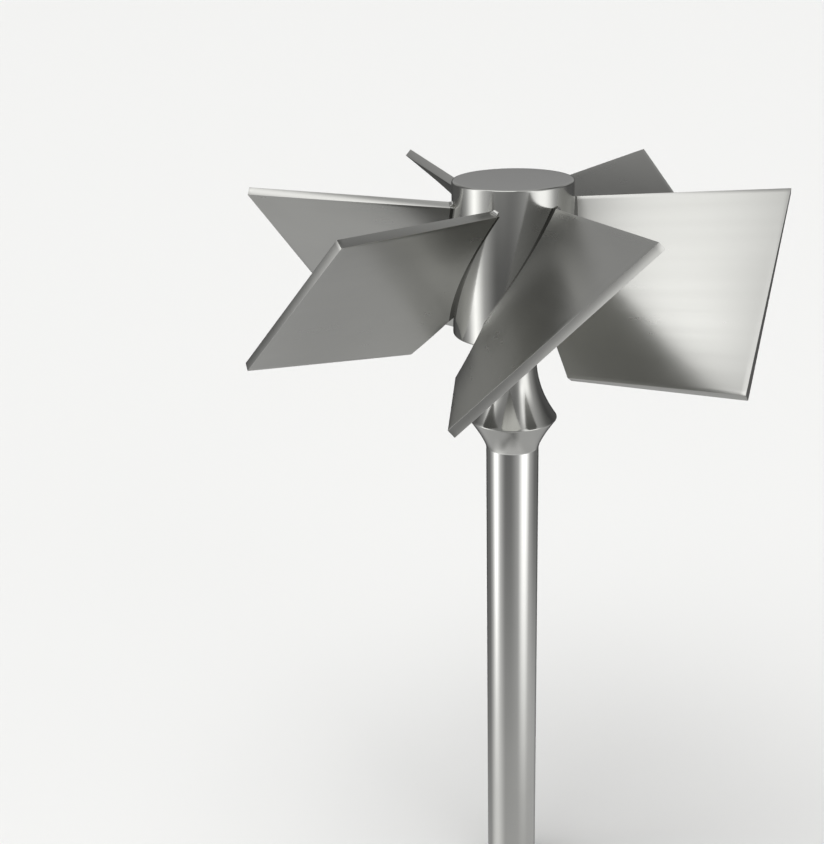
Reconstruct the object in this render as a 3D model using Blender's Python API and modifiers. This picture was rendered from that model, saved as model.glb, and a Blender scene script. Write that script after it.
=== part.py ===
"""Pitched blade impeller on its drive shaft, modelled in metres with +Z up.

Six twisted blades stand round a plain hub. A flared collar fills the space between the hub and
the shoulder of the shaft, and the shaft's journal passes through it into the hub's blind bore.
The origin is the centre of the shaft's lower end face, and all heights are measured from it.
"""

import math

import bmesh
import bpy
from mathutils import Matrix, Vector

NAME = "pitched_blade_impeller"

# Shaft.
SHAFT_RADIUS = 0.0250
SHAFT_END_CHAMFER = 0.0020
JOURNAL_RADIUS = 0.0190
JOURNAL_IN_HUB = 0.0980

# Hub.
HUB_RADIUS = 0.0550
HUB_HEIGHT = 0.1420
HUB_TOP = 0.7400
HUB_RIM_ROUND = 0.0012
BORE_DEPTH = 0.1000

# Flared collar. Its neck is straight, and the two curves that meet at its ridge are powers of
# the share of their height.
COLLAR_NECK_RADIUS = 0.0222
COLLAR_NECK_END_BELOW_HUB_TOP = 0.1640
COLLAR_RIDGE_RADIUS = 0.0420
COLLAR_RIDGE_BELOW_HUB_TOP = 0.2250
COLLAR_RIDGE_LAND = 0.0008
COLLAR_FLARE_POWER = 2.15
COLLAR_CONE_HEIGHT = 0.0300
COLLAR_CONE_POWER = 1.3

# Blades. A chord is measured along the blade, above and below its radial axis.
BLADE_COUNT = 6
BLADE_FIRST_ANGLE = math.radians(-19.5)
BLADE_THICKNESS = 0.0080
BLADE_AXIS_BELOW_HUB_TOP = 0.0705
ROOT_DISTANCE = 0.0470
ROOT_PITCH = math.radians(58.5)
ROOT_CHORD_ABOVE = 0.0590
ROOT_CHORD_BELOW = 0.1075
TIP_DISTANCE = 0.2315
TIP_PITCH = math.radians(41.0)
TIP_CHORD_ABOVE = 0.0910
TIP_CHORD_BELOW = 0.1195
HEEL_CUT_DISTANCE = 0.0740
HEEL_CUT_SHARE = 0.2700

# Weld beads along the blade roots.
BEAD_RADIUS = 0.0022
BEAD_END_MARGIN = 0.0040

# Clearances, and how finely the shapes are divided.
SEAT_GAP = 0.0003
BORE_GAP = 0.0003
CUTTER_MARGIN = 0.0300
MERGE_DISTANCE = 0.00001
ROUND_SEGMENTS = 64
CUTTER_SEGMENTS = 128
FLARE_STEPS = 10
CONE_STEPS = 4
HEEL_STEPS = 3
RADIAL_STEPS = 9
CHORD_STEPS = 5
BEAD_STEPS = 12
BEAD_RESOLUTION = 2

# How a weld bead is laid into its corner: the steps that its search takes, and the small
# differences that give the blade's normal.
BEAD_SEARCH_PASSES = 12
SHARE_DIFFERENCE = 0.01
DISTANCE_DIFFERENCE = 0.001

HUB_BOTTOM = HUB_TOP - HUB_HEIGHT
COLLAR_NECK_END = HUB_TOP - COLLAR_NECK_END_BELOW_HUB_TOP
COLLAR_RIDGE = HUB_TOP - COLLAR_RIDGE_BELOW_HUB_TOP
COLLAR_BOTTOM = COLLAR_RIDGE - COLLAR_CONE_HEIGHT
BLADE_AXIS = HUB_TOP - BLADE_AXIS_BELOW_HUB_TOP


def clear_scene():
    """Remove every object that the file holds."""
    for item in list(bpy.data.objects):
        bpy.data.objects.remove(item, do_unlink=True)


def new_collection(name):
    """Return a new collection linked to the scene."""
    collection = bpy.data.collections.new(name)
    bpy.context.scene.collection.children.link(collection)
    return collection


def new_metal(name, colour, roughness):
    """Return a metal with the given colour and roughness."""
    material = bpy.data.materials.new(name)
    material.use_nodes = True
    shader = material.node_tree.nodes["Principled BSDF"]
    shader.inputs["Base Color"].default_value = (*colour, 1.0)
    shader.inputs["Metallic"].default_value = 1.0
    shader.inputs["Roughness"].default_value = roughness
    return material


def add_object(name, data, collection, material=None):
    """Link an object that shows the given mesh or curve."""
    item = bpy.data.objects.new(name, data)
    collection.objects.link(item)
    if material is not None:
        data.materials.append(material)
    return item


def lerp(first, second, share):
    """Return the value at a share of the way from the first to the second."""
    return first + (second - first) * share


# Turned pieces


def add_turned(name, profile, collection, material):
    """Turn a profile of (radius, height) pairs, from top to bottom, with a Screw modifier."""
    mesh = bpy.data.meshes.new(name)
    model = bmesh.new()
    points = [model.verts.new((radius, 0.0, height)) for radius, height in profile]
    for first, second in zip(points, points[1:]):
        model.edges.new((first, second))
    model.to_mesh(mesh)
    model.free()
    item = add_object(name, mesh, collection, material)
    screw = item.modifiers.new("Turn", "SCREW")
    screw.angle = math.tau
    screw.steps = ROUND_SEGMENTS
    screw.render_steps = ROUND_SEGMENTS
    screw.use_merge_vertices = True
    screw.merge_threshold = MERGE_DISTANCE
    screw.use_smooth_shade = True
    return item


def add_shaft(collection):
    """Add the shaft with its shoulder and the journal that carries the collar and the hub."""
    material = new_metal("shaft_steel", (0.42, 0.42, 0.40), 0.30)
    shoulder = COLLAR_BOTTOM - SEAT_GAP
    journal_top = HUB_BOTTOM + JOURNAL_IN_HUB
    profile = [
        (0.0, journal_top),
        (JOURNAL_RADIUS - SHAFT_END_CHAMFER, journal_top),
        (JOURNAL_RADIUS, journal_top - SHAFT_END_CHAMFER),
        (JOURNAL_RADIUS, shoulder),
        (SHAFT_RADIUS, shoulder),
        (SHAFT_RADIUS, SHAFT_END_CHAMFER),
        (SHAFT_RADIUS - SHAFT_END_CHAMFER, 0.0),
        (0.0, 0.0),
    ]
    return add_turned("shaft", profile, collection, material)


def collar_outside():
    """Return the collar's outer profile, from the hub down to the shaft.

    A straight neck runs into a hollow flare, which widens to a narrow ridge. Under the ridge a
    slightly hollow cone runs back in to the shaft's own radius.
    """
    ridge_top = COLLAR_RIDGE + COLLAR_RIDGE_LAND / 2.0
    ridge_bottom = COLLAR_RIDGE - COLLAR_RIDGE_LAND / 2.0
    points = [(COLLAR_NECK_RADIUS, HUB_BOTTOM - SEAT_GAP)]
    for step in range(FLARE_STEPS + 1):
        share = step / FLARE_STEPS
        radius = lerp(COLLAR_NECK_RADIUS, COLLAR_RIDGE_RADIUS, share**COLLAR_FLARE_POWER)
        points.append((radius, lerp(COLLAR_NECK_END, ridge_top, share)))
    for step in range(CONE_STEPS + 1):
        share = step / CONE_STEPS
        radius = lerp(SHAFT_RADIUS, COLLAR_RIDGE_RADIUS, (1.0 - share) ** COLLAR_CONE_POWER)
        points.append((radius, lerp(ridge_bottom, COLLAR_BOTTOM, share)))
    return points


def add_collar(collection):
    """Add the flared collar that stands on the shaft's shoulder under the hub."""
    material = new_metal("collar_steel", (0.46, 0.46, 0.44), 0.28)
    bore = JOURNAL_RADIUS + BORE_GAP
    bore_top = (bore, HUB_BOTTOM - SEAT_GAP)
    profile = [bore_top] + collar_outside() + [(bore, COLLAR_BOTTOM), bore_top]
    return add_turned("collar", profile, collection, material)


def add_hub(collection):
    """Add the hub, a round block with a blind bore for the journal."""
    material = new_metal("hub_steel", (0.46, 0.46, 0.44), 0.30)
    bore = JOURNAL_RADIUS + BORE_GAP
    profile = [
        (0.0, HUB_TOP),
        (HUB_RADIUS - HUB_RIM_ROUND, HUB_TOP),
        (HUB_RADIUS, HUB_TOP - HUB_RIM_ROUND),
        (HUB_RADIUS, HUB_BOTTOM + HUB_RIM_ROUND),
        (HUB_RADIUS - HUB_RIM_ROUND, HUB_BOTTOM),
        (bore, HUB_BOTTOM),
        (bore, HUB_BOTTOM + BORE_DEPTH),
        (0.0, HUB_BOTTOM + BORE_DEPTH),
    ]
    return add_turned("hub", profile, collection, material)


# Blades


def chord_offset(pitch, chord):
    """Return how far a chord reaches along the turning direction and upwards."""
    return Vector((math.cos(pitch), math.sin(pitch))) * chord


def span_share(distance):
    """Return how far a station lies between the blade's root and its tip."""
    return (distance - ROOT_DISTANCE) / (TIP_DISTANCE - ROOT_DISTANCE)


def top_edge(distance):
    """Return the straight upper edge's offset from the blade's axis at a station."""
    root = chord_offset(ROOT_PITCH, ROOT_CHORD_ABOVE)
    tip = chord_offset(TIP_PITCH, TIP_CHORD_ABOVE)
    return root.lerp(tip, span_share(distance))


def full_bottom_edge(distance):
    """Return the straight lower edge's offset, before the blade's heel is cut away."""
    root = chord_offset(ROOT_PITCH, -ROOT_CHORD_BELOW)
    tip = chord_offset(TIP_PITCH, -TIP_CHORD_BELOW)
    return root.lerp(tip, span_share(distance))


def bottom_edge(distance):
    """Return the lower edge, which rises to the hub where the heel is cut away."""
    low = full_bottom_edge(distance)
    if distance >= HEEL_CUT_DISTANCE:
        return low
    share = (HEEL_CUT_DISTANCE - distance) / (HEEL_CUT_DISTANCE - ROOT_DISTANCE)
    return low.lerp(top_edge(distance), HEEL_CUT_SHARE * share)


def blade_point(distance, share):
    """Return the point of the middle surface at a distance and a share of the chord."""
    offset = bottom_edge(distance).lerp(top_edge(distance), share)
    return Vector((distance, offset.x, BLADE_AXIS + offset.y))


def blade_distances(inner):
    """Return the stations of the blade from an inner distance to the tip."""
    stations = [lerp(inner, HEEL_CUT_DISTANCE, step / HEEL_STEPS) for step in range(HEEL_STEPS)]
    stations += [
        lerp(HEEL_CUT_DISTANCE, TIP_DISTANCE, step / RADIAL_STEPS)
        for step in range(RADIAL_STEPS + 1)
    ]
    return stations


def blade_mesh():
    """Return the blade's open middle surface, along +X from inside the hub to the tip."""
    stations = blade_distances(ROOT_DISTANCE - CUTTER_MARGIN)
    mesh = bpy.data.meshes.new("blade")
    model = bmesh.new()
    bmesh.ops.create_grid(
        model, x_segments=len(stations) - 1, y_segments=CHORD_STEPS, size=1.0,
    )
    for point in model.verts:
        column = round((point.co.x + 1.0) / 2.0 * (len(stations) - 1))
        share = (point.co.y + 1.0) / 2.0
        point.co = blade_point(stations[column], share)
    model.to_mesh(mesh)
    model.free()
    return mesh


def hub_cutter(collection):
    """Return the cylinder that trims the blades to the hub's surface."""
    mesh = bpy.data.meshes.new("hub_cutter")
    model = bmesh.new()
    radius = HUB_RADIUS + SEAT_GAP
    height = HUB_HEIGHT + 2.0 * CUTTER_MARGIN
    bmesh.ops.create_cone(
        model, cap_ends=True, segments=CUTTER_SEGMENTS, radius1=radius, radius2=radius,
        depth=height, matrix=Matrix.Translation((0.0, 0.0, (HUB_TOP + HUB_BOTTOM) / 2.0)),
    )
    model.to_mesh(mesh)
    model.free()
    cutter = add_object("hub_cutter", mesh, collection)
    cutter.hide_render = True
    cutter.display_type = "WIRE"
    return cutter


def add_blades(collection, cutters):
    """Add the six blades, each turned to its place and trimmed to the hub."""
    material = new_metal("blade_steel", (0.44, 0.44, 0.42), 0.34)
    mesh = blade_mesh()
    mesh.materials.append(material)
    cutter = hub_cutter(cutters)
    for index in range(BLADE_COUNT):
        blade = add_object(f"blade_{index + 1}", mesh, collection)
        blade.rotation_euler.z = BLADE_FIRST_ANGLE + math.tau * index / BLADE_COUNT
        solidify = blade.modifiers.new("Thickness", "SOLIDIFY")
        solidify.thickness = BLADE_THICKNESS
        solidify.offset = 0.0
        trim = blade.modifiers.new("Trim to hub", "BOOLEAN")
        trim.operation = "DIFFERENCE"
        trim.solver = "EXACT"
        trim.object = cutter


# Weld beads


def bead_point(share, side):
    """Return the bead's centre beside one face of the blade, at a share of the root chord.

    The centre lies a bead radius and a seat gap away from both the hub and the blade's face.
    """
    reach = HUB_RADIUS + SEAT_GAP + BEAD_RADIUS
    clear = side * (BLADE_THICKNESS / 2.0 + SEAT_GAP + BEAD_RADIUS)
    distance = reach
    for _ in range(BEAD_SEARCH_PASSES):
        above = blade_point(distance, share + SHARE_DIFFERENCE)
        below = blade_point(distance, share - SHARE_DIFFERENCE)
        farther = blade_point(distance + DISTANCE_DIFFERENCE, share)
        nearer = blade_point(distance - DISTANCE_DIFFERENCE, share)
        normal = (farther - nearer).cross(above - below).normalized()
        point = blade_point(distance, share) + normal * clear
        distance += reach - math.hypot(point.x, point.y)
    return point


def add_beads(collection):
    """Add a weld bead on both faces of every blade root."""
    material = new_metal("weld_steel", (0.50, 0.49, 0.46), 0.38)
    chord = (blade_point(HUB_RADIUS, 1.0) - blade_point(HUB_RADIUS, 0.0)).length
    margin = BEAD_END_MARGIN / chord
    for side, face in ((1.0, "upper"), (-1.0, "lower")):
        curve = bpy.data.curves.new(f"bead_{face}", "CURVE")
        curve.dimensions = "3D"
        curve.bevel_depth = BEAD_RADIUS
        curve.bevel_resolution = BEAD_RESOLUTION
        curve.use_fill_caps = True
        spline = curve.splines.new("POLY")
        spline.points.add(BEAD_STEPS)
        for step in range(BEAD_STEPS + 1):
            share = lerp(margin, 1.0 - margin, step / BEAD_STEPS)
            spline.points[step].co = (*bead_point(share, side), 1.0)
        curve.materials.append(material)
        for index in range(BLADE_COUNT):
            bead = add_object(f"blade_{index + 1}_weld_{face}", curve, collection)
            bead.rotation_euler.z = BLADE_FIRST_ANGLE + math.tau * index / BLADE_COUNT


def main():
    """Build the impeller."""
    clear_scene()
    parts = new_collection(NAME)
    cutters = new_collection("cutters")
    add_shaft(parts)
    add_collar(parts)
    add_hub(parts)
    add_blades(parts, cutters)
    add_beads(parts)


main()
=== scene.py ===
"""Looks of the pitched blade impeller: satin stainless steel on a pale floor in soft studio light.

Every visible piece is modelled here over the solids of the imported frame, in metres and in the
frame's own place: +Z runs up the shaft, and the photograph is taken from the -Y side.
"""

import logging
import math
from collections.abc import Callable
from dataclasses import dataclass, field
from enum import Enum

import bmesh
import bpy
from mathutils import Matrix, Vector


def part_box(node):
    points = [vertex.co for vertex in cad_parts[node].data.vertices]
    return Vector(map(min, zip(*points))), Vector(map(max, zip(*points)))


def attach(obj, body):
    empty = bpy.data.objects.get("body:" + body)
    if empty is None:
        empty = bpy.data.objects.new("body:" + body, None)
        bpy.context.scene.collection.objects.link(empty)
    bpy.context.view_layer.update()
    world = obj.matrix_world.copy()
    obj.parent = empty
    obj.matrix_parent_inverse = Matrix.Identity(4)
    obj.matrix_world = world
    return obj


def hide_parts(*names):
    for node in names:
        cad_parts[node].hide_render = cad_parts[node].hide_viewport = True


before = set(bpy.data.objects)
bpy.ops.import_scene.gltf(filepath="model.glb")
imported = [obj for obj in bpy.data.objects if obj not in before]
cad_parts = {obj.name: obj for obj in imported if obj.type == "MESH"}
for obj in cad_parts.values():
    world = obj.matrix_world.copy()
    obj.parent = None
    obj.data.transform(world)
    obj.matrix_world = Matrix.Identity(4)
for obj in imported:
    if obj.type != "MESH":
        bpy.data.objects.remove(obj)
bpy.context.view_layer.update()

LOG = logging.getLogger("impeller")
BODY = "root"
MILLIMETRE = 0.001
NANOMETRE = 1e-9

# The blades, as many as the frame has and turned as they are there.
BLADE_COUNT = 6
BLADE_FIRST_ANGLE = math.radians(-19.5)

# How finely round pieces are divided, and the sharpest corner that is shaded smooth.
ROUND_SIDES = 224
SMOOTH_ANGLE = math.radians(28.0)

# The mesh attribute that gives each point's place across a bead, 0 on the hub and 1 on the blade.
ACROSS = "across"

Part = bmesh.types.BMVert | bmesh.types.BMFace
Colour = tuple[float, float, float]
Groups = dict[str, bpy.types.NodeTree]


class Kind(Enum):
    """Which parts of a mesh are selected, by the mesh's list of them."""

    VERT = "verts"
    FACE = "faces"


class Lay(Enum):
    """Which way the fine marks of a finish run."""

    TURNED = "round the axis"
    BRUSHED = "along the blade"
    WELDED = "along the weld"


def object_mode() -> None:
    """Leave edit mode and deselect everything."""
    if bpy.context.mode != "OBJECT":
        bpy.ops.object.mode_set(mode="OBJECT")
    bpy.ops.object.select_all(action="DESELECT")


def edit_mode() -> None:
    """Enter edit mode on the active object with nothing selected."""
    bpy.ops.object.mode_set(mode="EDIT")
    bpy.ops.mesh.select_all(action="DESELECT")


def take_new(name: str) -> bpy.types.Object:
    """Name the object that an add operator has just made.

    Args:
        name: The piece's name.

    Returns:
        The object.
    """
    item = bpy.context.active_object
    item.name = name
    item.data.name = name
    return item


def take_up(item: bpy.types.Object) -> None:
    """Select one object alone and make it the active one.

    Args:
        item: The object.
    """
    object_mode()
    item.select_set(True)
    bpy.context.view_layer.objects.active = item


def apply_place(item: bpy.types.Object) -> None:
    """Put an object's place into its mesh, so that it sits at the origin unturned.

    Args:
        item: The object.
    """
    take_up(item)
    bpy.ops.object.transform_apply(location=True, rotation=True, scale=True)


def select_where(item: bpy.types.Object, kind: Kind, wanted: Callable[[Part], bool]) -> None:
    """Select in edit mode the vertices or the faces that a test names, and no others.

    Args:
        item: The object in edit mode.
        kind: Vertices or faces.
        wanted: The test.
    """
    bpy.ops.mesh.select_all(action="DESELECT")
    bpy.ops.mesh.select_mode(type=kind.name)
    model = bmesh.from_edit_mesh(item.data)
    for part in getattr(model, kind.value):
        if wanted(part):
            part.select = True
    model.select_flush(True)
    bmesh.update_edit_mesh(item.data)


def apply_modifier(item: bpy.types.Object, name: str) -> None:
    """Apply one modifier.

    Args:
        item: The object.
        name: The modifier's name.
    """
    take_up(item)
    bpy.ops.object.modifier_apply(modifier=name)


def smooth(item: bpy.types.Object) -> None:
    """Shade a finished piece smooth and keep its real corners.

    Args:
        item: The object.
    """
    take_up(item)
    bpy.ops.object.shade_smooth_by_angle(angle=SMOOTH_ANGLE)
    object_mode()


def dress(item: bpy.types.Object, material: bpy.types.Material, slot: str, *nodes: str) -> None:
    """Give a piece its material and say which nodes it stands for.

    Args:
        item: The finished piece.
        material: Its material.
        slot: A material slot's name, which is not used.
        nodes: The nodes of the frame that it replaces.
    """
    item.data.materials.clear()
    item.data.materials.append(material)
    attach(item, BODY)
    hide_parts(*nodes)
    LOG.info("%s stands for %s", item.name, ", ".join(nodes))


class Nodes:
    """A short way to add nodes to one tree and link them."""

    def __init__(self, tree: bpy.types.NodeTree) -> None:
        """Keep the tree that the nodes go into."""
        self.tree = tree

    def add(
        self, kind: str, values: dict[str | int, object] | None = None, **settings: object
    ) -> bpy.types.Node:
        """Add a node.

        Args:
            kind: The node's type.
            values: Its input values or the sockets that feed them, by input name or number.
            settings: Its properties.

        Returns:
            The node.
        """
        node = self.tree.nodes.new(kind)
        for name, value in settings.items():
            setattr(node, name, value)
        for name, value in (values or {}).items():
            self.feed(node.inputs[name], value)
        return node

    def feed(self, socket: bpy.types.NodeSocket, value: object) -> None:
        """Set an input to a value, or link it to the socket that gives one.

        Args:
            socket: The input.
            value: The value or the socket.
        """
        if isinstance(value, bpy.types.NodeSocket):
            self.tree.links.new(value, socket)
        else:
            socket.default_value = value

    def math(self, operation: str, *values: bpy.types.NodeSocket | float) -> bpy.types.NodeSocket:
        """Add a Math node.

        Args:
            operation: What it works out.
            values: Its values or the sockets that give them.

        Returns:
            The result.
        """
        node = self.add("ShaderNodeMath", dict(enumerate(values)), operation=operation)
        return node.outputs[0]

    def ramp(
        self, value: bpy.types.NodeSocket, start: tuple[float, float],
        finish: tuple[float, float] = (0.0, 1.0),
    ) -> bpy.types.NodeSocket:
        """Add a smooth Map Range node.

        Args:
            value: The value that it reads.
            start: The lowest and the highest value that make a difference.
            finish: What it gives for the two.

        Returns:
            The result.
        """
        ranges = {
            "Value": value, "From Min": start[0], "From Max": start[1],
            "To Min": finish[0], "To Max": finish[1],
        }
        node = self.add("ShaderNodeMapRange", ranges, interpolation_type="SMOOTHSTEP")
        return node.outputs["Result"]

    def blend(
        self, mask: bpy.types.NodeSocket, start: bpy.types.NodeSocket | tuple[float, ...],
        finish: Colour,
    ) -> bpy.types.NodeSocket:
        """Blend to another colour where a mask is 1.

        Args:
            mask: The mask.
            start: The colour where the mask is 0, with its alpha, or the socket that gives it.
            finish: The colour where it is 1.

        Returns:
            The blended colour.
        """
        mix = self.add("ShaderNodeMix", {"Factor": mask}, data_type="RGBA")
        first, second, blended = mix.inputs[6], mix.inputs[7], mix.outputs[2]
        self.feed(first, start)
        self.feed(second, (*finish, 1.0))
        return blended

    def place_group(
        self, group: bpy.types.NodeTree, values: dict[str, object] | None = None
    ) -> bpy.types.Node:
        """Add a node group.

        Args:
            group: The group.
            values: Its input values or the sockets that feed them, by input name.

        Returns:
            The group's node.
        """
        return self.add("ShaderNodeGroup", values, node_tree=group)


def new_group(
    name: str, inputs: dict[str, str], outputs: dict[str, str]
) -> tuple[Nodes, bpy.types.Node, bpy.types.Node]:
    """Make an empty shader node group with named sockets.

    Args:
        name: The group's name.
        inputs: The kind of socket for each input's name.
        outputs: The kind of socket for each output's name.

    Returns:
        The group's nodes, and its input and its output node.
    """
    group = bpy.data.node_groups.new(name, "ShaderNodeTree")
    for way, sockets in (("INPUT", inputs), ("OUTPUT", outputs)):
        for socket, kind in sockets.items():
            group.interface.new_socket(socket, in_out=way, socket_type=kind)
    make = Nodes(group)
    return make, make.add("NodeGroupInput"), make.add("NodeGroupOutput")


def turned_coordinates_group() -> bpy.types.NodeTree:
    """Turn places on the object into radius and height, so that marks run round the axis.

    Returns:
        The group.
    """
    make, start, end = new_group(
        "turned_coordinates", {"Place": "NodeSocketVector"}, {"Across": "NodeSocketVector"}
    )
    parts = make.add("ShaderNodeSeparateXYZ", {0: start.outputs["Place"]}).outputs
    squares = [make.math("POWER", parts[axis], 2.0) for axis in ("X", "Y")]
    radius = make.math("SQRT", make.math("ADD", *squares))
    across = make.add("ShaderNodeCombineXYZ", {"X": radius, "Z": parts["Z"]}).outputs[0]
    make.feed(end.inputs["Across"], across)
    return make.tree


def fine_marks_group() -> bpy.types.NodeTree:
    """Make the fine parallel marks of a turned or brushed surface.

    Returns:
        The group, which gives the marks' height and a mask of broader streaks among them.
    """
    streak_scale = 0.14
    streak_range = (0.35, 0.68)
    make, start, end = new_group(
        "fine_marks",
        {"Across": "NodeSocketVector", "Fineness": "NodeSocketFloat"},
        {"Height": "NodeSocketFloat", "Streaks": "NodeSocketFloat"},
    )
    across, fineness = start.outputs["Across"], start.outputs["Fineness"]
    fine = make.add("ShaderNodeTexNoise", {"Vector": across, "Scale": fineness, "Detail": 3.0})
    coarseness = make.math("MULTIPLY", fineness, streak_scale)
    broad = make.add("ShaderNodeTexNoise", {"Vector": across, "Scale": coarseness, "Detail": 2.0})
    make.feed(end.inputs["Height"], fine.outputs[0])
    make.feed(end.inputs["Streaks"], make.ramp(broad.outputs[0], streak_range))
    return make.tree


def handling_group() -> bpy.types.NodeTree:
    """Make the soft clouds and fine scuffs that handling leaves on satin steel.

    Returns:
        The group, which gives a mask of clouds and one of scuffs.
    """
    cloud_scale, cloud_distortion, cloud_range = 14.0, 0.6, (0.34, 0.66)
    scuff_scale, scuff_turn, scuff_range = (420.0, 60.0, 260.0), (0.5, 0.9, 0.3), (0.66, 0.84)
    make, start, end = new_group(
        "handling",
        {"Place": "NodeSocketVector"},
        {"Clouds": "NodeSocketFloat", "Scuffs": "NodeSocketFloat"},
    )
    place = start.outputs["Place"]
    clouds = make.add(
        "ShaderNodeTexNoise",
        {"Vector": place, "Scale": cloud_scale, "Detail": 4.0, "Distortion": cloud_distortion},
    )
    tilted = make.add(
        "ShaderNodeMapping", {"Vector": place, "Scale": scuff_scale, "Rotation": scuff_turn}
    ).outputs[0]
    scuffs = make.add("ShaderNodeTexNoise", {"Vector": tilted, "Scale": 1.0, "Detail": 1.0})
    make.feed(end.inputs["Clouds"], make.ramp(clouds.outputs[0], cloud_range))
    make.feed(end.inputs["Scuffs"], make.ramp(scuffs.outputs[0], scuff_range))
    return make.tree


def satin_grain_group() -> bpy.types.NodeTree:
    """Make the fine even grain that blasting and polishing leave on satin steel.

    Returns:
        The group, which gives the grain's height.
    """
    make, start, end = new_group(
        "satin_grain",
        {"Place": "NodeSocketVector", "Fineness": "NodeSocketFloat"},
        {"Height": "NodeSocketFloat"},
    )
    grain = make.add(
        "ShaderNodeTexNoise",
        {"Vector": start.outputs["Place"], "Scale": start.outputs["Fineness"], "Detail": 2.0},
    )
    make.feed(end.inputs["Height"], grain.outputs[0])
    return make.tree


def edge_wear_and_highlight_group() -> bpy.types.NodeTree:
    """Make a mask of the rounded edges, which are painted lighter than the faces: partly wear,
    partly a painted highlight along each edge.

    Returns:
        The group.
    """
    sharpness_range = (0.52, 0.60)
    make, _, end = new_group("edge_polish", {}, {"Edges": "NodeSocketFloat"})
    sharpness = make.add("ShaderNodeNewGeometry").outputs["Pointiness"]
    make.feed(end.inputs["Edges"], make.ramp(sharpness, sharpness_range))
    return make.tree


def bead_toe_shade_group() -> bpy.types.NodeTree:
    """Make a mask of a bead's two long borders, where painted shade darkens the creases against hub
    and blade.

    Returns:
        The group, which reads each point's place across the bead from the mesh.
    """
    middle = 0.5
    toe_shade_range = (0.38, 0.50)
    make, _, end = new_group("bead_toes", {}, {"Toes": "NodeSocketFloat"})
    across = make.add("ShaderNodeAttribute", attribute_name=ACROSS).outputs["Fac"]
    from_middle = make.math("ABSOLUTE", make.math("SUBTRACT", across, middle))
    make.feed(end.inputs["Toes"], make.ramp(from_middle, toe_shade_range))
    return make.tree


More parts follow.
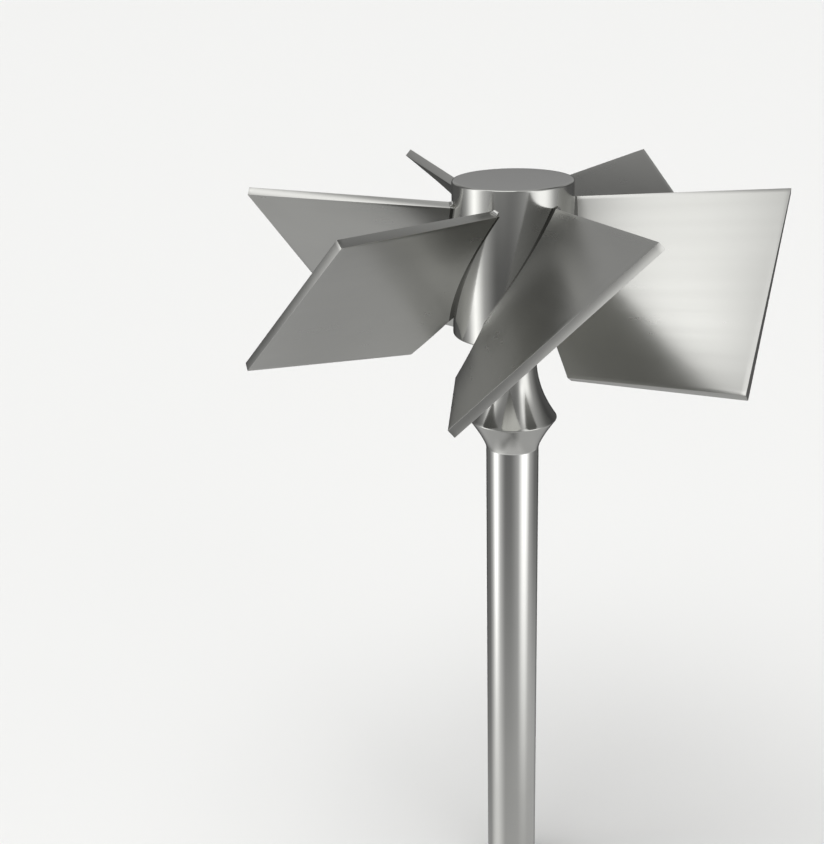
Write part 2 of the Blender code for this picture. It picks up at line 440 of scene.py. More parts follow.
@dataclass(frozen=True)
class SteelFinish:
    """One finish of satin stainless steel.

    Attributes:
        name: The material's name.
        roughness: How dull it is where it is cleanest.
        lay: Which way its fine marks run.
        marks_fineness: How many marks there are, as the scale of their noise.
        marks_depth: The marks' height in metres.
        grain_depth: The even grain's height in metres.
        colour: The steel's base colour.
        edge_wear_and_highlight_colour: Its lighter colour along the rounded edges, partly wear and
            partly a painted highlight.
        toe_shade_colour: Its dark colour along a bead's borders, painted shade in the creases
            against hub and blade.
        grain_fineness: The scale of the grain's noise.
        rough_span: How much duller marks, clouds and scuffs can each make it.
        tone_span: The share by which clouds make it darker or lighter.
        brushed_stretch: How a brushed finish's marks are stretched along the piece's own map.
        welded_stretch: How a weld's marks are.
    """

    name: str
    roughness: float
    lay: Lay
    marks_fineness: float
    marks_depth: float
    grain_depth: float
    colour: Colour = (0.49, 0.49, 0.47)
    edge_wear_and_highlight_colour: Colour = (0.74, 0.74, 0.72)
    toe_shade_colour: Colour = (0.16, 0.16, 0.15)
    grain_fineness: float = 1100.0
    rough_span: float = 0.02
    tone_span: float = 0.02
    brushed_stretch: tuple[float, float, float] = (0.02, 1.0, 1.0)
    welded_stretch: tuple[float, float, float] = (1.0, 0.1, 1.0)

    def marks_across(
        self, make: Nodes, coordinates: bpy.types.Node, groups: Groups
    ) -> bpy.types.NodeSocket:
        """Work out the coordinates that the fine marks vary along.

        Args:
            make: The material's nodes.
            coordinates: Its texture coordinates.
            groups: The shared node groups.

        Returns:
            The coordinates.
        """
        if self.lay is Lay.TURNED:
            turned = make.place_group(groups["turned"], {"Place": coordinates.outputs["Object"]})
            return turned.outputs["Across"]
        stretch = self.brushed_stretch if self.lay is Lay.BRUSHED else self.welded_stretch
        mapping = make.add(
            "ShaderNodeMapping", {"Vector": coordinates.outputs["UV"], "Scale": stretch}
        )
        return mapping.outputs[0]

    def base_colour(
        self, make: Nodes, clouds: bpy.types.NodeSocket, groups: Groups
    ) -> bpy.types.NodeSocket:
        """Work out the colour, with its clouds, its edges painted lighter for wear and a painted
        highlight, and a bead's borders darkened as painted shade.

        Args:
            make: The material's nodes.
            clouds: The mask of clouds.
            groups: The shared node groups.

        Returns:
            The colour.
        """
        dark = tuple(channel * (1.0 - self.tone_span) for channel in self.colour)
        light = tuple(channel * (1.0 + self.tone_span) for channel in self.colour)
        colour = make.blend(clouds, (*dark, 1.0), light)
        if self.lay is Lay.TURNED:
            # Edges of turned pieces get a lighter colour: partly wear, partly a painted highlight.
            edges = make.place_group(groups["edges"]).outputs["Edges"]
            colour = make.blend(edges, colour, self.edge_wear_and_highlight_colour)
        if self.lay is Lay.WELDED:
            # A bead's borders are darkened: painted shade in the creases where it meets hub and
            # blade.
            toe_shade = make.place_group(groups["toe_shade"]).outputs["Toes"]
            colour = make.blend(toe_shade, colour, self.toe_shade_colour)
        return colour

    def material(self, groups: Groups) -> bpy.types.Material:
        """Build the finish's material.

        Args:
            groups: The shared node groups.

        Returns:
            The material.
        """
        material = bpy.data.materials.new(self.name)
        material.use_nodes = True
        make = Nodes(material.node_tree)
        shader = material.node_tree.nodes["Principled BSDF"]
        shader.inputs["Metallic"].default_value = 1.0
        coordinates = make.add("ShaderNodeTexCoord")
        place = coordinates.outputs["Object"]
        marks = make.place_group(groups["marks"], {
            "Across": self.marks_across(make, coordinates, groups),
            "Fineness": self.marks_fineness,
        })
        handling = make.place_group(groups["handling"], {"Place": place})
        grain = make.place_group(
            groups["grain"], {"Place": place, "Fineness": self.grain_fineness}
        )
        clouds, scuffs = handling.outputs["Clouds"], handling.outputs["Scuffs"]
        colour = self.base_colour(make, clouds, groups)
        make.feed(shader.inputs["Base Color"], colour)

        rough = self.roughness
        for mask in (marks.outputs["Streaks"], clouds, scuffs):
            rough = make.math("MULTIPLY_ADD", mask, self.rough_span, rough)
        make.feed(shader.inputs["Roughness"], rough)

        height = make.math("MULTIPLY", marks.outputs["Height"], self.marks_depth)
        height = make.math("MULTIPLY_ADD", grain.outputs["Height"], self.grain_depth, height)
        bump = make.add("ShaderNodeBump", {"Height": height, "Strength": 1.0, "Distance": 1.0})
        make.feed(shader.inputs["Normal"], bump.outputs[0])
        return material


def turned_satin(name: str) -> SteelFinish:
    """Return the finish of a turned and polished piece.

    Args:
        name: The material's name.

    Returns:
        The finish.
    """
    return SteelFinish(
        name, roughness=0.10, lay=Lay.TURNED, marks_fineness=900.0,
        marks_depth=300.0 * NANOMETRE, grain_depth=400.0 * NANOMETRE,
    )


@dataclass
class TurnedPiece:
    """A piece turned on a lathe, shaped ring by ring from a cylinder.

    Attributes:
        name: The piece's name.
        rings: Radius and height of each ring, from top to bottom.
        round_edges: Radius and height of the corners that are rounded.
        round_width: How wide the rounding is.
        round_steps: How many faces go round it.
        cap_inset: How far in from the rim each flat end is divided.
        near: How close a point must be to a ring to be on it.
    """

    name: str
    rings: list[tuple[float, float]]
    round_edges: list[tuple[float, float]]
    round_width: float
    round_steps: int = 5
    cap_inset: float = 0.6 * MILLIMETRE
    near: float = 0.01 * MILLIMETRE

    def build(self) -> bpy.types.Object:
        """Model the piece.

        Returns:
            The finished object.
        """
        top, bottom = self.rings[0][1], self.rings[-1][1]
        object_mode()
        bpy.ops.mesh.primitive_cylinder_add(
            vertices=ROUND_SIDES, radius=1.0, depth=top - bottom,
            location=(0.0, 0.0, (top + bottom) / 2.0),
        )
        item = take_new(self.name)
        apply_place(item)
        edit_mode()
        for _, height in self.rings[1:-1]:
            bpy.ops.mesh.select_all(action="SELECT")
            bpy.ops.mesh.bisect(plane_co=(0.0, 0.0, height), plane_no=(0.0, 0.0, 1.0))
        for radius, height in self.rings:
            select_where(item, Kind.VERT, lambda point: abs(point.co.z - height) < self.near)
            bpy.ops.transform.resize(
                value=(radius, radius, 1.0), center_override=(0.0, 0.0, height)
            )
        self.round_corners(item)
        select_where(item, Kind.FACE, lambda face: len(face.verts) > 4)
        bpy.ops.mesh.inset(thickness=self.cap_inset, use_individual=True)
        bpy.ops.mesh.select_all(action="SELECT")
        bpy.ops.mesh.normals_make_consistent(inside=False)
        smooth(item)
        return item

    def round_corners(self, item: bpy.types.Object) -> None:
        """Round the corners that the piece names.

        Args:
            item: The object in edit mode.
        """
        for radius, height in self.round_edges:
            select_where(
                item, Kind.VERT,
                lambda point: abs(point.co.z - height) < self.near
                and abs(math.hypot(point.co.x, point.co.y) - radius) < self.near,
            )
            bpy.ops.mesh.bevel(
                offset=self.round_width, segments=self.round_steps, affect="EDGES"
            )


@dataclass
class DriveShaft:
    """The plain round drive shaft.

    Attributes:
        chamfer: How wide and high the lower end's chamfer is.
        chamfer_round: How wide the rounding of its corners is.
        finish: The shaft's finish.
    """

    chamfer: float = 2.0 * MILLIMETRE
    chamfer_round: float = 0.3 * MILLIMETRE
    finish: SteelFinish = turned_satin("shaft_satin")

    def build(self, groups: Groups) -> None:
        """Model and dress the shaft up to the collar's lower end.

        Args:
            groups: The shared node groups.
        """
        low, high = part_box("shaft")
        radius = high.x
        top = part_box("collar")[0].z
        rings = [(radius, top), (radius, low.z + self.chamfer), (radius - self.chamfer, low.z)]
        item = TurnedPiece("drive_shaft", rings, rings[1:], self.chamfer_round).build()
        dress(item, self.finish.material(groups), "shaft_steel", "shaft")


@dataclass
class FlaredCollar:
    """The hollow flare under the hub, and the cone that runs back in to the shaft.

    Attributes:
        neck_radius: The radius at the hub.
        neck_end_below_hub_top: Where the neck starts to widen.
        ridge_below_hub_top: Where it is widest.
        flare_power: How late the flare widens.
        cone_power: How early the cone narrows.
        flare_steps: How many rings the flare has.
        cone_steps: How many rings the cone has.
        ridge_round: How wide the ridge's rounding is.
        finish: The collar's finish.
    """

    neck_radius: float = 22.2 * MILLIMETRE
    neck_end_below_hub_top: float = 164.0 * MILLIMETRE
    ridge_below_hub_top: float = 225.0 * MILLIMETRE
    flare_power: float = 2.15
    cone_power: float = 1.3
    flare_steps: int = 28
    cone_steps: int = 12
    ridge_round: float = 0.7 * MILLIMETRE
    finish: SteelFinish = turned_satin("collar_satin")

    def build(self, groups: Groups) -> None:
        """Model and dress the collar.

        Args:
            groups: The shared node groups.
        """
        low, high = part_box("collar")
        hub_low, hub_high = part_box("hub")
        shaft_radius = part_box("shaft")[1].x
        ridge_radius = high.x
        ridge = hub_high.z - self.ridge_below_hub_top
        neck_end = hub_high.z - self.neck_end_below_hub_top
        rings = [(self.neck_radius, hub_low.z)]
        for step in range(self.flare_steps):
            share = step / self.flare_steps
            radius = self.neck_radius + (ridge_radius - self.neck_radius) * share**self.flare_power
            rings.append((radius, neck_end + (ridge - neck_end) * share))
        for step in range(self.cone_steps + 1):
            share = step / self.cone_steps
            radius = shaft_radius + (ridge_radius - shaft_radius) * (1.0 - share) ** self.cone_power
            rings.append((radius, ridge + (low.z - ridge) * share))
        corners = [(ridge_radius, ridge)]
        item = TurnedPiece("flared_collar", rings, corners, self.ridge_round).build()
        dress(item, self.finish.material(groups), "collar_steel", "collar")


@dataclass
class Hub:
    """The plain round hub.

    Attributes:
        rim_round: How wide the rounding of its rims is.
        finish: The hub's finish.
    """

    rim_round: float = 2.0 * MILLIMETRE
    finish: SteelFinish = turned_satin("hub_satin")

    def build(self, groups: Groups) -> None:
        """Model and dress the hub.

        Args:
            groups: The shared node groups.
        """
        low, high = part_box("hub")
        rings = [(high.x, high.z), (high.x, low.z)]
        item = TurnedPiece("hub_body", rings, rings, self.rim_round).build()
        dress(item, self.finish.material(groups), "hub_steel", "hub")


@dataclass
class BladeShape:
    """The blade's surface between straight edges, as the frame has it.

    Distances run out from the axis. A chord is measured along the blade, above and below its
    radial axis.

    Attributes:
        thickness: The plate's thickness.
        axis_below_hub_top: The height of the blade's radial axis.
        root_distance: Where the blade meets the hub, at its middle.
        root_pitch: The blade's pitch there.
        root_above: How far it reaches above its axis there.
        root_below: How far it would reach below it there.
        tip_distance: Where the blade ends.
        tip_pitch: The blade's pitch there.
        tip_above: How far it reaches above its axis there.
        tip_below: How far it reaches below it there.
        heel_distance: Where the cut across the inner lower corner starts.
        heel_share: The share of the root's chord that the cut takes.
        inner_distance: How far inside the hub the surface starts.
        share_step: The step in chord that gives the surface's direction.
        hub_passes: How many steps find the hub's surface.
        hub_top: The height of the hub's upper face.
        hub_radius: The hub's radius.
    """

    thickness: float = 8.0 * MILLIMETRE
    axis_below_hub_top: float = 70.5 * MILLIMETRE
    root_distance: float = 47.0 * MILLIMETRE
    root_pitch: float = math.radians(58.5)
    root_above: float = 59.0 * MILLIMETRE
    root_below: float = 107.5 * MILLIMETRE
    tip_distance: float = 231.5 * MILLIMETRE
    tip_pitch: float = math.radians(41.0)
    tip_above: float = 91.0 * MILLIMETRE
    tip_below: float = 119.5 * MILLIMETRE
    heel_distance: float = 74.0 * MILLIMETRE
    heel_share: float = 0.27
    inner_distance: float = 17.0 * MILLIMETRE
    share_step: float = 0.01
    hub_passes: int = 16
    hub_top: float = field(default_factory=lambda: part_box("hub")[1].z)
    hub_radius: float = field(default_factory=lambda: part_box("hub")[1].x)

    @property
    def axis(self) -> float:
        """Return the height of the blade's radial axis."""
        return self.hub_top - self.axis_below_hub_top

    def edge(self, distance: float, upper: bool) -> Vector:
        """Return a point of the full upper or lower edge.

        Args:
            distance: How far out it is.
            upper: Whether it is on the upper edge.

        Returns:
            The point on the blade that points along +X.
        """
        share = (distance - self.root_distance) / (self.tip_distance - self.root_distance)
        root = self.root_above if upper else -self.root_below
        tip = self.tip_above if upper else -self.tip_below
        start = Vector((math.cos(self.root_pitch), math.sin(self.root_pitch))) * root
        finish = Vector((math.cos(self.tip_pitch), math.sin(self.tip_pitch))) * tip
        offset = start.lerp(finish, share)
        return Vector((distance, offset.x, self.axis + offset.y))

    def middle(self, distance: float, share: float) -> Vector:
        """Return a point of the middle surface, whose chord starts at the heel cut.

        Args:
            distance: How far out it is.
            share: Its share of the chord, from the lower edge.

        Returns:
            The point.
        """
        low, high = self.edge(distance, False), self.edge(distance, True)
        if distance < self.heel_distance:
            cut = (self.heel_distance - distance) / (self.heel_distance - self.root_distance)
            low = low.lerp(high, self.heel_share * cut)
        return low.lerp(high, share)

    def face(self, distance: float, share: float, side: float) -> Vector:
        """Return a point on the blade's upper or lower face.

        Args:
            distance: How far out it is.
            share: Its share of the chord.
            side: 1 for the upper face, -1 for the lower one, and between them inside the plate.

        Returns:
            The point.
        """
        step = MILLIMETRE
        outward = self.middle(distance + step, share) - self.middle(distance - step, share)
        above = self.middle(distance, share + self.share_step)
        upward = above - self.middle(distance, share - self.share_step)
        normal = outward.cross(upward).normalized()
        return self.middle(distance, share) + normal * (side * self.thickness / 2.0)

    def on_hub(self, share: float, side: float, radius: float) -> float:
        """Return the distance at which a line along the blade meets a radius round the axis.

        Args:
            share: The line's share of the chord.
            side: The line's place in the thickness.
            radius: The radius to meet.

        Returns:
            The distance.
        """
        distance = radius
        for _ in range(self.hub_passes):
            place = self.face(distance, share, side)
            distance += radius - math.hypot(place.x, place.y)
        return distance


@dataclass
class Blades:
    """The six like blades and the beads that join them to the hub.

    Attributes:
        shape: The blade's surface.
        cuts: How often it is divided each way.
        edge_round: How wide the rounding of its edges is.
        edge_steps: How many faces go round an edge.
        edge_angle: The flattest corner that is rounded.
        root_sink: How far blade and bead go into the hub.
        leg: How far a bead reaches along the hub and along the blade.
        bulge: How far its crown stands out, from 0.5 for a flat bead to 1 for a square one.
        section_points: How many points its section has.
        face_stations: How many sections it has along each face of a blade.
        corner_stations: How many it has round each edge of one.
        corner_passes: How often its turns are smoothed.
        near: How close a point must be to a corner to be it.
        finish: The blades' finish.
        weld_finish: The beads' finish, whose very light colour is partly polish and partly a
            painted highlight.
    """

    shape: BladeShape
    cuts: int = 45
    edge_round: float = 0.7 * MILLIMETRE
    edge_steps: int = 3
    edge_angle: float = math.radians(50.0)
    root_sink: float = 0.4 * MILLIMETRE
    leg: float = 3.0 * MILLIMETRE
    bulge: float = 0.85
    section_points: int = 10
    face_stations: int = 60
    corner_stations: int = 9
    corner_passes: int = 2
    near: float = 0.1 * MILLIMETRE
    finish: SteelFinish = SteelFinish(
        "blade_satin", roughness=0.27, lay=Lay.BRUSHED, marks_fineness=120.0,
        marks_depth=100.0 * NANOMETRE, grain_depth=4000.0 * NANOMETRE,
    )
    # The beads' very light colour is partly polish and partly a painted highlight along each bead.
    weld_finish: SteelFinish = SteelFinish(
        "weld_polish", roughness=0.10, lay=Lay.WELDED, marks_fineness=60.0,
        marks_depth=300.0 * NANOMETRE, grain_depth=400.0 * NANOMETRE, colour=(0.93, 0.93, 0.90),
    )

    def build(self, groups: Groups) -> None:
        """Model one blade and one root bead, and copy both round the hub.

        Args:
            groups: The shared node groups.
        """
        blade = self.build_blade()
        weld = self.build_weld()
        steel = self.finish.material(groups)
        weld_steel = self.weld_finish.material(groups)
        for index in range(BLADE_COUNT):
            number = index + 1
            angle = BLADE_FIRST_ANGLE + math.tau * index / BLADE_COUNT
            copy = self.place_copy(blade, f"pitched_blade_{number}", angle)
            dress(copy, steel, "blade_steel", f"blade_{number}")
            copy = self.place_copy(weld, f"root_bead_{number}", angle)
            upper, lower = f"blade_{number}_weld_upper", f"blade_{number}_weld_lower"
            dress(copy, weld_steel, "weld_steel", upper, lower)
        bpy.data.objects.remove(blade)
        bpy.data.objects.remove(weld)

    def place_copy(self, model: bpy.types.Object, name: str, angle: float) -> bpy.types.Object:
        """Copy a piece that points along +X and turn it to its place.

        Args:
            model: The piece.
            name: The copy's name.
            angle: How far it turns round the axis.

        Returns:
            The copy.
        """
        object_mode()
        copy = model.copy()
        copy.data = model.data.copy()
        copy.name = name
        copy.data.name = name
        bpy.context.scene.collection.objects.link(copy)
        copy.rotation_euler.z = angle
        apply_place(copy)
        return copy

    def build_blade(self) -> bpy.types.Object:
        """Model the blade that points along +X.

        Returns:
            The finished blade.
        """
        shape = self.shape
        length = shape.tip_distance - shape.inner_distance
        object_mode()
        bpy.ops.mesh.primitive_plane_add(
            size=1.0, location=(shape.inner_distance + length / 2.0, 0.0, shape.axis),
            rotation=(math.pi / 2.0, 0.0, 0.0),
        )
        item = take_new("blade_model")
        item.scale = (length, 1.0, 1.0)
        apply_place(item)
        edit_mode()
        for distance in (shape.inner_distance, shape.tip_distance):
            for upper in (False, True):
                self.move_corner(item, distance, upper)
        bpy.ops.mesh.select_all(action="SELECT")
        bpy.ops.mesh.subdivide(number_cuts=self.cuts)
        self.cut_heel()
        self.thicken(item)
        self.trim(item)
        smooth(item)
        return item

    def move_corner(self, item: bpy.types.Object, distance: float, upper: bool) -> None:
        """Move one corner of the flat plane to its place on the blade's edge.

        Args:
            item: The plane, 1 m high, in edit mode.
            distance: How far out the corner is.
            upper: Whether it is an upper corner.
        """
        half = 0.5 if upper else -0.5
        start = Vector((distance, 0.0, self.shape.axis + half))
        select_where(item, Kind.VERT, lambda point: (point.co - start).length < self.near)
        bpy.ops.transform.translate(value=self.shape.edge(distance, upper) - start)

    def cut_heel(self) -> None:
        """Cut the inner lower corner away along a straight line."""
        shape = self.shape
        outer = shape.edge(shape.heel_distance, False)
        inner = shape.middle(shape.root_distance, 0.0)
        distance = (shape.heel_distance + shape.root_distance) / 2.0
        across = shape.face(distance, 0.0, 1.0) - shape.face(distance, 0.0, -1.0)
        normal = (outer - inner).cross(across).normalized()
        bpy.ops.mesh.select_all(action="SELECT")
        bpy.ops.mesh.bisect(
            plane_co=outer, plane_no=normal, clear_inner=normal.z > 0.0,
            clear_outer=normal.z <= 0.0,
        )
        object_mode()

    def thicken(self, item: bpy.types.Object) -> None:
        """Give the surface the plate's thickness and round its edges.

        Args:
            item: The blade's surface.
        """
        solid = item.modifiers.new("Plate", "SOLIDIFY")
        solid.thickness = self.shape.thickness
        solid.offset = 0.0
        solid.use_even_offset = True
        apply_modifier(item, "Plate")
        rounding = item.modifiers.new("Edges", "BEVEL")
        rounding.width = self.edge_round
        rounding.segments = self.edge_steps
        rounding.limit_method = "ANGLE"
        rounding.angle_limit = self.edge_angle
        apply_modifier(item, "Edges")

    def trim(self, item: bpy.types.Object) -> None:
        """Cut the blade off just inside the hub's surface.

        Args:
            item: The blade.
        """
        shape = self.shape
        object_mode()
        bpy.ops.mesh.primitive_cylinder_add(
            vertices=ROUND_SIDES, radius=shape.hub_radius - self.root_sink, depth=1.0,
            location=(0.0, 0.0, shape.axis),
        )
        cutter = take_new("hub_cutter")
        trimming = item.modifiers.new("Root", "BOOLEAN")
        trimming.operation = "DIFFERENCE"
        trimming.object = cutter
        apply_modifier(item, "Root")
        bpy.data.objects.remove(cutter)

    def root_outline(self) -> list[tuple[float, float]]:
        """Return share and side of each station round the blade's root, in order."""
        count, corner = self.face_stations, self.corner_stations
        up = [(step / count, 1.0) for step in range(count + 1)]
        over = [(1.0, 1.0 - 2.0 * step / corner) for step in range(1, corner)]
        down = [(1.0 - step / count, -1.0) for step in range(count + 1)]
        under = [(0.0, -1.0 + 2.0 * step / corner) for step in range(1, corner)]
        return up + over + down + under

    def build_weld(self) -> bpy.types.Object:
        """Model the small smooth bead that runs right round one blade's root.

        Returns:
            The bead, a closed ring that starts as a torus with one section for each station.
        """
        outline = self.root_outline()
        object_mode()
        bpy.ops.mesh.primitive_torus_add(
            major_segments=len(outline), minor_segments=self.section_points,
            major_radius=1.0, minor_radius=0.1,
        )
        item = take_new("bead_model")
        edit_mode()
        model = bmesh.from_edit_mesh(item.data)
        model.verts.ensure_lookup_table()
        across = model.verts.layers.float.new(ACROSS)
        for station, section in enumerate(self.sections(outline)):
            for number, place in enumerate(section):
                point = model.verts[station * self.section_points + number]
                point.co = place
                point[across] = number / (self.section_points - 2)
        bmesh.update_edit_mesh(item.data)
        bpy.ops.mesh.select_all(action="SELECT")
        bpy.ops.mesh.normals_make_consistent(inside=False)
        smooth(item)
        return item

    def sections(self, outline: list[tuple[float, float]]) -> list[list[Vector]]:
        """Work out the bead's section at each station.

        Args:
            outline: Share and side of each station.

        Returns:
            The points of each section.
        """
        shape = self.shape
        distances = [shape.on_hub(share, side, shape.hub_radius) for share, side in outline]
        corners = [shape.face(distance, *place) for distance, place in zip(distances, outline)]
        centre = sum(corners, Vector()) / len(corners)
        ways = []
        for number, corner in enumerate(corners):
            before, after = corners[number - 1], corners[(number + 1) % len(corners)]
            out = Vector((corner.x, corner.y, 0.0)).normalized()
            away = (after - before).cross(out).normalized()
            if away.dot(corner - centre) < 0.0 and abs(outline[number][1]) < 1.0:
                away.negate()
            ways.append(away)
        for _ in range(self.corner_passes):
            ways = [
                (ways[number - 1] + way * 2.0 + ways[(number + 1) % len(ways)]).normalized()
                for number, way in enumerate(ways)
            ]
        return [
            self.section(corner, way, shape.face(distance + self.leg, *place))
            for corner, way, distance, place in zip(corners, ways, distances, outline)
        ]

    def section(self, corner: Vector, away: Vector, on_blade: Vector) -> list[Vector]:
        """Work out one section of the bead, from the hub round to the blade and back inside.

        Args:
            corner: Where the blade's face meets the hub.
            away: The way off the blade along the hub.
            on_blade: Where the bead ends on the blade.

        Returns:
            The section's points.
        """
        out = Vector((corner.x, corner.y, 0.0)).normalized()
        on_hub = corner + away * self.leg
        flat = Vector((on_hub.x, on_hub.y, 0.0)).normalized() * self.shape.hub_radius
        on_hub = Vector((flat.x, flat.y, on_hub.z))
        crown = corner + ((on_hub - corner) + (on_blade - corner)) * self.bulge
        arc_points = self.section_points - 1
        points = []
        for step in range(arc_points):
            part = step / (arc_points - 1)
            points.append(on_hub.lerp(crown, part).lerp(crown.lerp(on_blade, part), part))
        points.append(corner - (out + away) * self.root_sink)
        return points


class PanelPlace(Enum):
    """Where a soft panel of light hangs, which says how its two angles are measured."""

    WALL = "azimuth, 0 on the camera's side and 90 on its right, and elevation"
    CEILING = "angle from straight up to the right, and from straight up to the camera"


@dataclass(frozen=True)
class SoftPanel:
    """A soft-edged panel of light or shade, far off in the room. All its angles are in degrees.

    Attributes:
        place: Where it hangs.
        across: Its middle's first angle.
        up: Its middle's second angle.
        half_across: Half its width.
        half_up: Half its height.
        soft_across: How far its side edges fade to each side.
        soft_up: How far its upper and lower edges fade.
        brightness: The light that it adds, or takes where it is a shade.
    """

    place: PanelPlace
    across: float
    up: float
    half_across: float
    half_up: float
    soft_across: float
    soft_up: float
    brightness: float


def panel_group() -> bpy.types.NodeTree:
    """Make the mask of one soft panel from the two angles of a direction.

    Returns:
        The group.
    """
    half_turn = 180.0
    ways = ("Across", "Up")
    parts = ("Angle", "Middle", "Half", "Soft")
    inputs = {f"{way} {part}": "NodeSocketFloat" for way in ways for part in parts}
    make, start, end = new_group("soft_panel", inputs, {"Mask": "NodeSocketFloat"})
    masks = []
    for way in ways:
        angle, middle, half, soft = (start.outputs[f"{way} {part}"] for part in parts)
        apart = make.math("WRAP", make.math("SUBTRACT", angle, middle), -half_turn, half_turn)
        beyond = make.math("SUBTRACT", make.math("ABSOLUTE", apart), half)
        masks.append(make.ramp(make.math("DIVIDE", beyond, soft), (-1.0, 1.0), (1.0, 0.0)))
    make.feed(end.inputs["Mask"], make.math("MULTIPLY", *masks))
    return make.tree


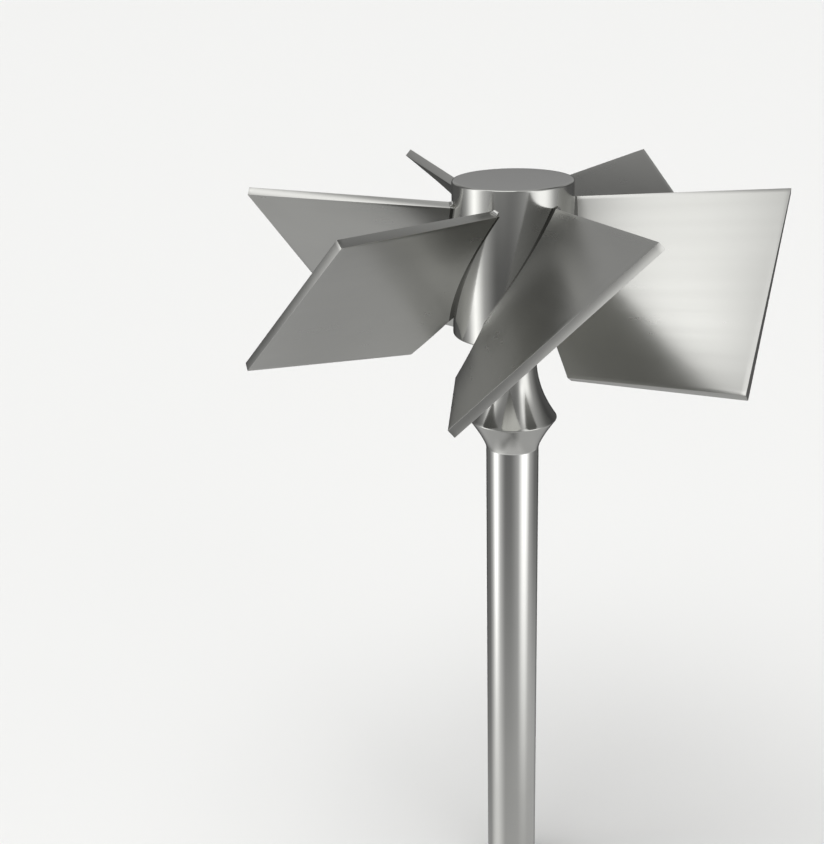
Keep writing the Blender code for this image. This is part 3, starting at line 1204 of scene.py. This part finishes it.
@dataclass
class Studio:
    """The floor, the light and the camera at the photograph's viewing angle.

    Attributes:
        image_height: The photograph's longer side, in pixels.
        focal_pixels: The lens's focal length in the same pixels.
        distance: How far the camera is from its target, a point on the axis.
        elevation: How far it is raised.
        yaw: How far it then turns aside.
        roll: How far it leans.
        target_below_hub_top: The target's height.
        sensor: The sensor's width in millimetres.
        floor_radius: The floor's radius.
        floor_sides: How many sides the floor has.
        floor_colour: Its colour.
        floor_roughness: How dull it is.
        floor_shine: How much it mirrors.
        backdrop_light: How bright the camera sees the backdrop.
        light_below: The room's light from straight below.
        light_above: Its light from straight above.
        light_blend: The elevation up to which it changes from one to the other, in degrees.
        light_least: Its light where the shades take the most.
        floor_light: The strength of the soft light on the floor.
        floor_light_spread: How broad that light is.
        floor_light_turn: How it is turned, in degrees.
        panels: The soft panels round the room.
    """

    image_height: int = 844
    focal_pixels: float = 1340.5
    distance: float = 1.2766
    elevation: float = math.radians(20.745)
    yaw: float = math.radians(-4.285)
    roll: float = math.radians(0.144)
    target_below_hub_top: float = 0.23135
    sensor: float = 36.0
    floor_radius: float = 40.0
    floor_sides: int = 96
    floor_colour: Colour = (0.80, 0.80, 0.79)
    floor_roughness: float = 0.9
    floor_shine: float = 0.1
    backdrop_light: float = 0.80
    light_below: float = 0.23
    light_above: float = 0.01
    light_blend: float = 60.0
    light_least: float = 0.01
    floor_light: float = 1.6
    floor_light_spread: float = math.radians(70.0)
    floor_light_turn: tuple[float, float, float] = (12.0, -16.0, 0.0)
    panels: tuple[SoftPanel, ...] = (
        SoftPanel(PanelPlace.WALL, -75.0, 0.0, 24.0, 60.0, 24.0, 15.0, 0.75),
        SoftPanel(PanelPlace.WALL, -76.0, 18.0, 9.0, 51.0, 14.0, 8.0, 1.3),
        SoftPanel(PanelPlace.WALL, 56.0, 27.0, 36.0, 57.0, 32.0, 17.0, 0.63),
        SoftPanel(PanelPlace.WALL, 37.0, 22.0, 6.0, 20.0, 11.0, 10.0, 1.1),
        SoftPanel(PanelPlace.WALL, 55.0, -10.0, 17.0, 24.0, 14.0, 10.0, 1.1),
        SoftPanel(PanelPlace.CEILING, -10.0, 0.0, 32.0, 42.0, 9.0, 14.0, 0.4),
        SoftPanel(PanelPlace.CEILING, -13.0, 17.0, 16.0, 16.0, 4.0, 8.0, 1.4),
        SoftPanel(PanelPlace.WALL, -170.0, 40.0, 44.0, 31.0, 18.0, 5.0, 0.36),
        SoftPanel(PanelPlace.WALL, 0.0, -61.0, 61.0, 23.0, 24.0, 18.0, 0.53),
        SoftPanel(PanelPlace.WALL, -141.0, -63.0, 61.0, 24.0, 31.0, 10.0, 0.36),
        SoftPanel(PanelPlace.WALL, 102.0, -57.0, 45.0, 27.0, 24.0, 7.0, 0.39),
        SoftPanel(PanelPlace.WALL, -71.0, 39.0, 30.0, 16.0, 12.0, 11.0, -0.33),
        SoftPanel(PanelPlace.WALL, 133.0, 32.0, 14.0, 10.0, 15.0, 12.0, 0.52),
        SoftPanel(PanelPlace.WALL, -36.0, 18.0, 35.0, 24.0, 21.0, 13.0, 0.31),
        SoftPanel(PanelPlace.WALL, 180.0, -22.0, 34.0, 14.0, 18.0, 12.0, -0.12),
    )

    def build(self) -> None:
        """Set the floor, the light and the camera."""
        self.add_floor()
        self.add_world()
        self.add_lights()
        self.add_camera()

    def add_floor(self) -> None:
        """Add the plain pale floor, which the steel doesn't mirror."""
        object_mode()
        bpy.ops.mesh.primitive_circle_add(
            vertices=self.floor_sides, radius=self.floor_radius, fill_type="NGON",
            location=(0.0, 0.0, 0.0),
        )
        floor = take_new("studio_floor")
        material = bpy.data.materials.new("pale_floor")
        material.use_nodes = True
        shader = material.node_tree.nodes["Principled BSDF"]
        shader.inputs["Base Color"].default_value = (*self.floor_colour, 1.0)
        shader.inputs["Roughness"].default_value = self.floor_roughness
        shader.inputs["Specular IOR Level"].default_value = self.floor_shine
        floor.data.materials.append(material)
        floor.visible_glossy = False

    def add_world(self) -> None:
        """Light the room: brighter below than above, with soft panels round it.

        The camera sees a plain pale backdrop instead.
        """
        world = bpy.data.worlds.new("studio")
        world.use_nodes = True
        bpy.context.scene.world = world
        make = Nodes(world.node_tree)
        direction = make.add("ShaderNodeTexCoord").outputs["Generated"]
        right, back, above = make.add("ShaderNodeSeparateXYZ", {0: direction}).outputs
        ahead = make.math("MULTIPLY", back, -1.0)
        elevation = make.math("DEGREES", make.math("ARCSINE", above))
        angles = {
            PanelPlace.WALL: (self.angle(make, right, ahead), elevation),
            PanelPlace.CEILING: (self.angle(make, right, above), self.angle(make, ahead, above)),
        }
        light = make.ramp(
            elevation, (-self.light_blend, self.light_blend), (self.light_below, self.light_above)
        )
        group = panel_group()
        for panel in self.panels:
            across, up = angles[panel.place]
            mask = make.place_group(group, {
                "Across Angle": across, "Across Middle": panel.across,
                "Across Half": panel.half_across, "Across Soft": panel.soft_across,
                "Up Angle": up, "Up Middle": panel.up,
                "Up Half": panel.half_up, "Up Soft": panel.soft_up,
            }).outputs["Mask"]
            light = make.math("MULTIPLY_ADD", mask, panel.brightness, light)
        light = make.math("MAXIMUM", light, self.light_least)
        seen = make.add("ShaderNodeLightPath").outputs["Is Camera Ray"]
        shown = make.add("ShaderNodeMix", {"Factor": seen, "A": light, "B": self.backdrop_light})
        backdrop = world.node_tree.nodes["Background"]
        make.feed(backdrop.inputs["Strength"], shown.outputs["Result"])
        backdrop.inputs["Color"].default_value = (1.0, 1.0, 1.0, 1.0)

    @staticmethod
    def angle(
        make: Nodes, side: bpy.types.NodeSocket, start: bpy.types.NodeSocket
    ) -> bpy.types.NodeSocket:
        """Return the angle in degrees from one axis towards another.

        Args:
            make: The tree's nodes.
            side: How far the direction goes along the axis that the angle turns to.
            start: How far it goes along the axis where the angle is 0.

        Returns:
            The angle.
        """
        return make.math("DEGREES", make.math("ARCTAN2", side, start))

    def add_lights(self) -> None:
        """Add a broad soft light that brightens the floor and gives it a faint shadow."""
        broad = bpy.data.lights.new("soft_light", "SUN")
        broad.energy = self.floor_light
        broad.angle = self.floor_light_spread
        item = bpy.data.objects.new("soft_light", broad)
        bpy.context.scene.collection.objects.link(item)
        item.rotation_euler = [math.radians(turn) for turn in self.floor_light_turn]
        item.visible_glossy = False

    def add_camera(self) -> None:
        """Place the camera as the photograph was taken."""
        hub_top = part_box("hub")[1].z
        target = Vector((0.0, 0.0, hub_top - self.target_below_hub_top))
        back = Vector((0.0, -math.cos(self.elevation), math.sin(self.elevation)))
        ahead = -back
        right = Vector((1.0, 0.0, 0.0))
        up = right.cross(ahead)
        ahead_turned = ahead * math.cos(self.yaw) + right * math.sin(self.yaw)
        right_turned = right * math.cos(self.yaw) - ahead * math.sin(self.yaw)
        right_rolled = right_turned * math.cos(self.roll) + up * math.sin(self.roll)
        up_rolled = up * math.cos(self.roll) - right_turned * math.sin(self.roll)
        axes = Matrix((right_rolled, up_rolled, -ahead_turned)).transposed()
        camera = bpy.data.cameras.new("camera")
        camera.sensor_width = self.sensor
        camera.lens = self.sensor * self.focal_pixels / self.image_height
        item = bpy.data.objects.new("camera", camera)
        item.matrix_world = Matrix.Translation(target + back * self.distance) @ axes.to_4x4()
        bpy.context.scene.collection.objects.link(item)
        bpy.context.scene.camera = item
        bpy.context.scene.view_settings.view_transform = "Standard"


def main() -> None:
    """Build the impeller's pieces and the studio."""
    logging.basicConfig(level=logging.INFO)
    groups = {
        "turned": turned_coordinates_group(),
        "marks": fine_marks_group(),
        "handling": handling_group(),
        "grain": satin_grain_group(),
        # The edge mask paints edges lighter, partly wear and partly a painted highlight.
        "edges": edge_wear_and_highlight_group(),
        # The toe mask darkens bead borders as painted shade.
        "toe_shade": bead_toe_shade_group(),
    }
    DriveShaft().build(groups)
    FlaredCollar().build(groups)
    Hub().build(groups)
    Blades(BladeShape()).build(groups)
    Studio().build()


if __name__ == "__main__":
    main()
